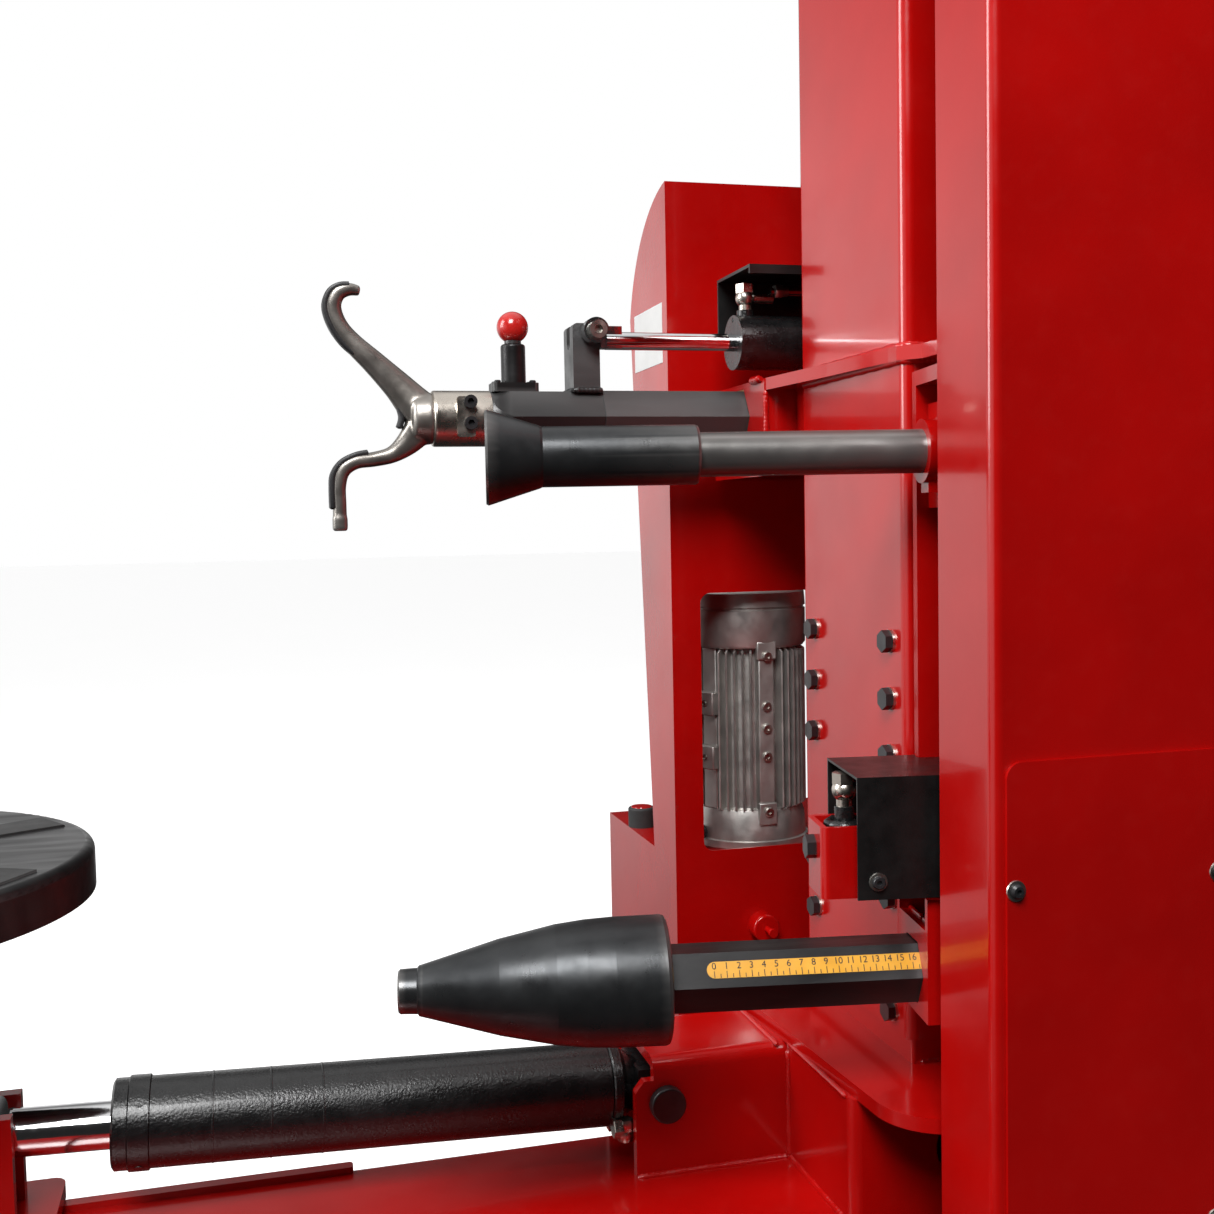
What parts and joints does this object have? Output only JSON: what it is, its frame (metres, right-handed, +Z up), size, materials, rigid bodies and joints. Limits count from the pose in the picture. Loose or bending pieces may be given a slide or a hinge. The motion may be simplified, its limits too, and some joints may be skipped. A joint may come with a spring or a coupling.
{
  "type": "tire changer machine",
  "caption": "Tire changing machine: column with a sliding hook arm, a swinging frame with tapered roller and bullet cone, and a sliding wheel table fed by a cylinder.",
  "frame": {"origin": "on the floor at the middle of the four pedestal anchor holes", "axes": "+Z up, arms and base beam reach towards -X, -Y is the operator side"},
  "size_m": [1.8, 0.9875, 1.5],
  "materials": {
    "red_paint": "gloss enamel",
    "black_steel": "satin black oxide",
    "black_paint": "semi-gloss textured",
    "tool_steel": "satin",
    "chrome": "polished",
    "zinc": "zinc plated",
    "aluminium": "die cast",
    "bronze": "satin",
    "rubber": "matte",
    "red_knob": "gloss",
    "scale_yellow": "printed vinyl"
  },
  "bodies": {
    "frame": {"base_beam": "red_paint", "cross_sills": "red_paint", "levelling_feet": "rubber", "carriage_rails": "red_paint", "floor_plate": "red_paint", "pedestal": "red_paint", "pedestal_shelf": "red_paint", "clevis_box": "red_paint", "clevis_pin": "black_steel", "column_shell": "red_paint", "column_frame": "red_paint", "column_cap": "red_paint", "column_washers": "zinc", "column_bolts": "black_steel", "upper_gusset": "red_paint", "arm_bracket": "red_paint", "arm_liners": "bronze", "upper_barrel": "black_paint", "upper_fitting": "zinc", "upper_cover": "black_paint", "pivot_pins": "tool_steel", "rear_guard": "red_paint", "pump_motor": "aluminium", "power_unit": "black_paint", "rear_cabinet": "red_paint", "rubber_bumper": "rubber", "grease_boss": "red_paint", "front_post": "red_paint", "post_panel": "red_paint"},
    "hook_arm": {"upper_hex_arm": "black_steel", "arm_lug": "black_steel", "lug_screw": "black_steel", "plunger_guide": "black_steel", "upper_rod": "chrome", "plunger_spring": "zinc"},
    "plunger": {"plunger_pin": "zinc", "plunger_knob": "red_knob"},
    "hook": {"hook_tool": "tool_steel", "tool_collar": "tool_steel", "clamp_plate": "tool_steel", "clamp_screws": "black_steel"},
    "swing_tower": {"swing_frame": "red_paint", "shaft_collar": "red_paint", "lower_housing": "red_paint", "cylinder_bracket": "red_paint", "bracket_screw": "black_steel", "lower_barrel": "black_paint", "lower_fitting": "zinc", "lower_cover": "black_paint"},
    "roller_arm": {"roller_shaft": "black_steel"},
    "roller": {"tapered_roller": "black_steel"},
    "lower_arm": {"lower_hex_arm": "black_steel", "lower_rod": "chrome", "scale_strip": "scale_yellow"},
    "cone": {"bullet_cone": "black_steel"},
    "feed_cylinder": {"feed_tube": "black_paint"},
    "feed_piston": {"feed_rod": "chrome"},
    "wheel_carriage": {"carriage": "red_paint"},
    "wheel_table": {"turntable": "black_steel"},
    "clamp": {"clamp_cone": "black_steel"}
  },
  "joints": [
    {"name": "hook_arm_slide", "type": "slide", "parent": "frame", "child": "hook_arm", "axis": [-1, 0, 0], "range_m": [-0.03, 0.12]},
    {"name": "plunger_pull", "type": "slide", "parent": "hook_arm", "child": "plunger", "axis": [0, 0, 1], "range_m": [0, 0.012], "stiffness_N_per_m": 900, "springref_m": -0.01, "deforming": ["plunger_spring"]},
    {"name": "tool_turn", "type": "hinge", "parent": "hook_arm", "child": "hook", "pos_m": [-0.42, 0.21, 0.931], "axis": [1, 0, 0], "range_deg": [0, 180]},
    {"name": "tower_swing", "type": "hinge", "parent": "frame", "child": "swing_tower", "pos_m": [-0.056, -0.1875, 0.65], "axis": [0, 0, 1], "range_deg": [0, 10]},
    {"name": "roller_arm_slide", "type": "slide", "parent": "swing_tower", "child": "roller_arm", "axis": [0.9853, -0.1711, 0], "range_m": [-0.02, 0.15]},
    {"name": "roller_spin", "type": "hinge", "parent": "roller_arm", "child": "roller", "pos_m": [-0.056, -0.1875, 0.875], "axis": [0.9853, -0.1711, 0], "continuous": true},
    {"name": "lower_arm_slide", "type": "slide", "parent": "swing_tower", "child": "lower_arm", "axis": [0.9853, -0.1711, 0], "range_m": [0, 0.17]},
    {"name": "cone_spin", "type": "hinge", "parent": "lower_arm", "child": "cone", "pos_m": [-0.056, -0.1875, 0.457], "axis": [0.9853, -0.1711, 0], "continuous": true},
    {"name": "carriage_slide", "type": "slide", "parent": "frame", "child": "wheel_carriage", "axis": [-1, 0, 0], "range_m": [0, 0.25]},
    {"name": "table_spin", "type": "hinge", "parent": "wheel_carriage", "child": "wheel_table", "pos_m": [-1, 0.047, 0.55], "axis": [0, 0, 1], "continuous": true},
    {"name": "clamp_lift", "type": "slide", "parent": "wheel_table", "child": "clamp", "axis": [0, 0, 1], "range_m": [0, 0.028]},
    {"name": "feed_tilt", "type": "hinge", "parent": "frame", "child": "feed_cylinder", "pos_m": [-0.284, 0.047, 0.296], "axis": [0, 1, 0], "range_deg": [-0.8, 0.2]},
    {"name": "feed_extend", "type": "slide", "parent": "feed_cylinder", "child": "feed_piston", "axis": [-0.9991, 0, 0.0419], "range_m": [0, 0.26]}
  ],
  "couplings": [
    {"joint": "feed_tilt", "follows": "carriage_slide", "rad_per_m": -0.0505},
    {"joint": "feed_extend", "follows": "carriage_slide", "ratio": 0.9994}
  ]
}
